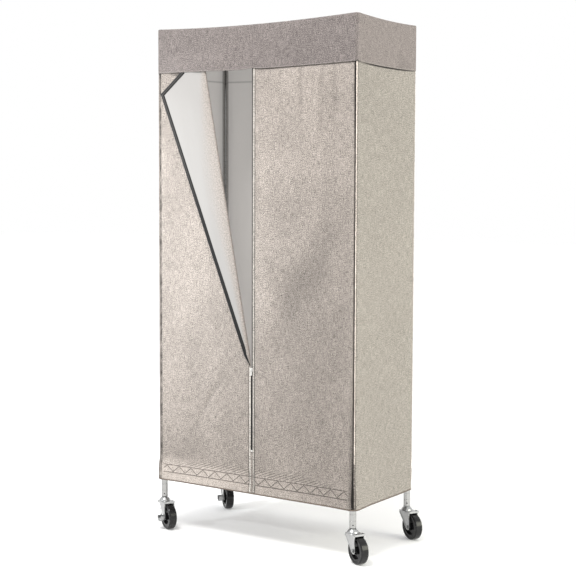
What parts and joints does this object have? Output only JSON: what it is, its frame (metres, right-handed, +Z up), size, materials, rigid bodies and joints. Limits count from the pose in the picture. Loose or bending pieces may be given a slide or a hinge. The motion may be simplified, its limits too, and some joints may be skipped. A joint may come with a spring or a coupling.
{
  "type": "covered garment rack",
  "caption": "Rolling wire garment rack with a fitted linen cover, zipped in front and partly open, a hang rod inside, and swivel casters with locks.",
  "frame": {"origin": "on the floor, midway between the four posts", "axes": "+X to the right along the rack seen from its zipped front, +Y from front to back, +Z up the posts"},
  "size_m": [1.0115, 0.5118, 2.0131],
  "materials": {
    "chrome": "bright plated wire and tube",
    "caster_steel": "bright zinc plate",
    "brake_steel": "bright zinc plate, pressed",
    "wheel_core": "moulded black, half gloss",
    "tread": "hard black rubber, satin",
    "black_plastic": "moulded matte",
    "cover_cloth": "heathered greige linen weave, lined in off white",
    "band_cloth": "the same weave in a darker taupe",
    "binding": "narrow folded tape",
    "piping": "corded seam",
    "zip_tape": "woven charcoal tape",
    "zip_teeth": "moulded dark teeth",
    "zip_metal": "nickel plate"
  },
  "bodies": {
    "frame_and_cover": {"post_front_left": "chrome", "post_front_right": "chrome", "post_rear_left": "chrome", "post_rear_right": "chrome", "post_caps": "black_plastic", "post_inserts": "black_plastic", "caster_stems": "caster_steel", "caster_raceways": "caster_steel", "bottom_shelf_trusses": "chrome", "bottom_shelf_deck": "chrome", "bottom_shelf_collars": "chrome", "bottom_shelf_sleeves": "black_plastic", "top_shelf_trusses": "chrome", "top_shelf_deck": "chrome", "top_shelf_collars": "chrome", "top_shelf_sleeves": "black_plastic", "hang_rod": "chrome", "rod_end_caps": "black_plastic", "rod_brackets": "chrome", "cover_roof": "band_cloth", "band_front": "band_cloth", "band_rear": "band_cloth", "band_left": "band_cloth", "band_right": "band_cloth", "back_panel": "cover_cloth", "left_side_panel": "cover_cloth", "right_side_panel": "cover_cloth", "front_right_panel": "cover_cloth", "front_left_panel": "cover_cloth", "hem_binding": "binding", "corner_piping": "piping", "placket": "cover_cloth", "zip_right": "zip_tape", "zip_left_lower": "zip_tape", "zip_closed_teeth": "zip_teeth", "zip_stop": "zip_teeth"},
    "caster_front_left": {"fork_front_left": "caster_steel", "axle_front_left": "caster_steel"},
    "wheel_front_left": {"wheel_front_left": "wheel_core", "tyre_front_left": "tread"},
    "brake_front_left": {"brake_lever_front_left": "brake_steel"},
    "caster_front_right": {"fork_front_right": "caster_steel", "axle_front_right": "caster_steel"},
    "wheel_front_right": {"wheel_front_right": "wheel_core", "tyre_front_right": "tread"},
    "caster_rear_left": {"fork_rear_left": "caster_steel", "axle_rear_left": "caster_steel"},
    "wheel_rear_left": {"wheel_rear_left": "wheel_core", "tyre_rear_left": "tread"},
    "brake_rear_left": {"brake_lever_rear_left": "brake_steel"},
    "caster_rear_right": {"fork_rear_right": "caster_steel", "axle_rear_right": "caster_steel"},
    "wheel_rear_right": {"wheel_rear_right": "wheel_core", "tyre_rear_right": "tread"},
    "slider": {"zip_slider": "zip_metal"},
    "pull": {"zip_pull": "zip_metal"},
    "flap": {"flap": "cover_cloth", "flap_zip": "zip_tape"}
  },
  "joints": [
    {"name": "swivel_front_left", "type": "hinge", "parent": "frame_and_cover", "child": "caster_front_left", "pos_m": [-0.448, -0.209, 0.11], "axis": [0, 0, 1], "continuous": true},
    {"name": "spin_front_left", "type": "hinge", "parent": "caster_front_left", "child": "wheel_front_left", "pos_m": [-0.4118, -0.22825, 0.051], "axis": [-0.4695, -0.8829, 0], "continuous": true},
    {"name": "brake_front_left", "type": "hinge", "parent": "caster_front_left", "child": "brake_front_left", "pos_m": [-0.4118, -0.22825, 0.051], "axis": [-0.4695, -0.8829, 0], "range_deg": [0, 25]},
    {"name": "swivel_front_right", "type": "hinge", "parent": "frame_and_cover", "child": "caster_front_right", "pos_m": [0.448, -0.209, 0.11], "axis": [0, 0, 1], "continuous": true},
    {"name": "spin_front_right", "type": "hinge", "parent": "caster_front_right", "child": "wheel_front_right", "pos_m": [0.4842, -0.22825, 0.051], "axis": [-0.4695, -0.8829, 0], "continuous": true},
    {"name": "swivel_rear_left", "type": "hinge", "parent": "frame_and_cover", "child": "caster_rear_left", "pos_m": [-0.448, 0.209, 0.11], "axis": [0, 0, 1], "continuous": true},
    {"name": "spin_rear_left", "type": "hinge", "parent": "caster_rear_left", "child": "wheel_rear_left", "pos_m": [-0.41659, 0.18265, 0.051], "axis": [-0.6428, -0.766, 0], "continuous": true},
    {"name": "brake_rear_left", "type": "hinge", "parent": "caster_rear_left", "child": "brake_rear_left", "pos_m": [-0.41659, 0.18265, 0.051], "axis": [-0.6428, -0.766, 0], "range_deg": [0, 25]},
    {"name": "swivel_rear_right", "type": "hinge", "parent": "frame_and_cover", "child": "caster_rear_right", "pos_m": [0.448, 0.209, 0.11], "axis": [0, 0, 1], "continuous": true},
    {"name": "spin_rear_right", "type": "hinge", "parent": "caster_rear_right", "child": "wheel_rear_right", "pos_m": [0.4842, 0.18975, 0.051], "axis": [-0.4695, -0.8829, 0], "continuous": true},
    {"name": "zip_slide", "type": "slide", "parent": "frame_and_cover", "child": "slider", "axis": [0, 0, 1], "range_m": [0, 1.144]},
    {"name": "pull_swing", "type": "hinge", "parent": "slider", "child": "pull", "pos_m": [0, -0.2297, 0.683], "axis": [-1, 0, 0], "range_deg": [0, 170]},
    {"name": "flap_fold", "type": "hinge", "parent": "frame_and_cover", "child": "flap", "pos_m": [-0.225, -0.2324, 1.836], "axis": [-0.1902, 0, 0.9817], "range_deg": [0, 179.7]}
  ],
  "couplings": [
    {"joint": "flap_fold", "follows": "zip_slide", "rad_per_m": 2.7415}
  ]
}
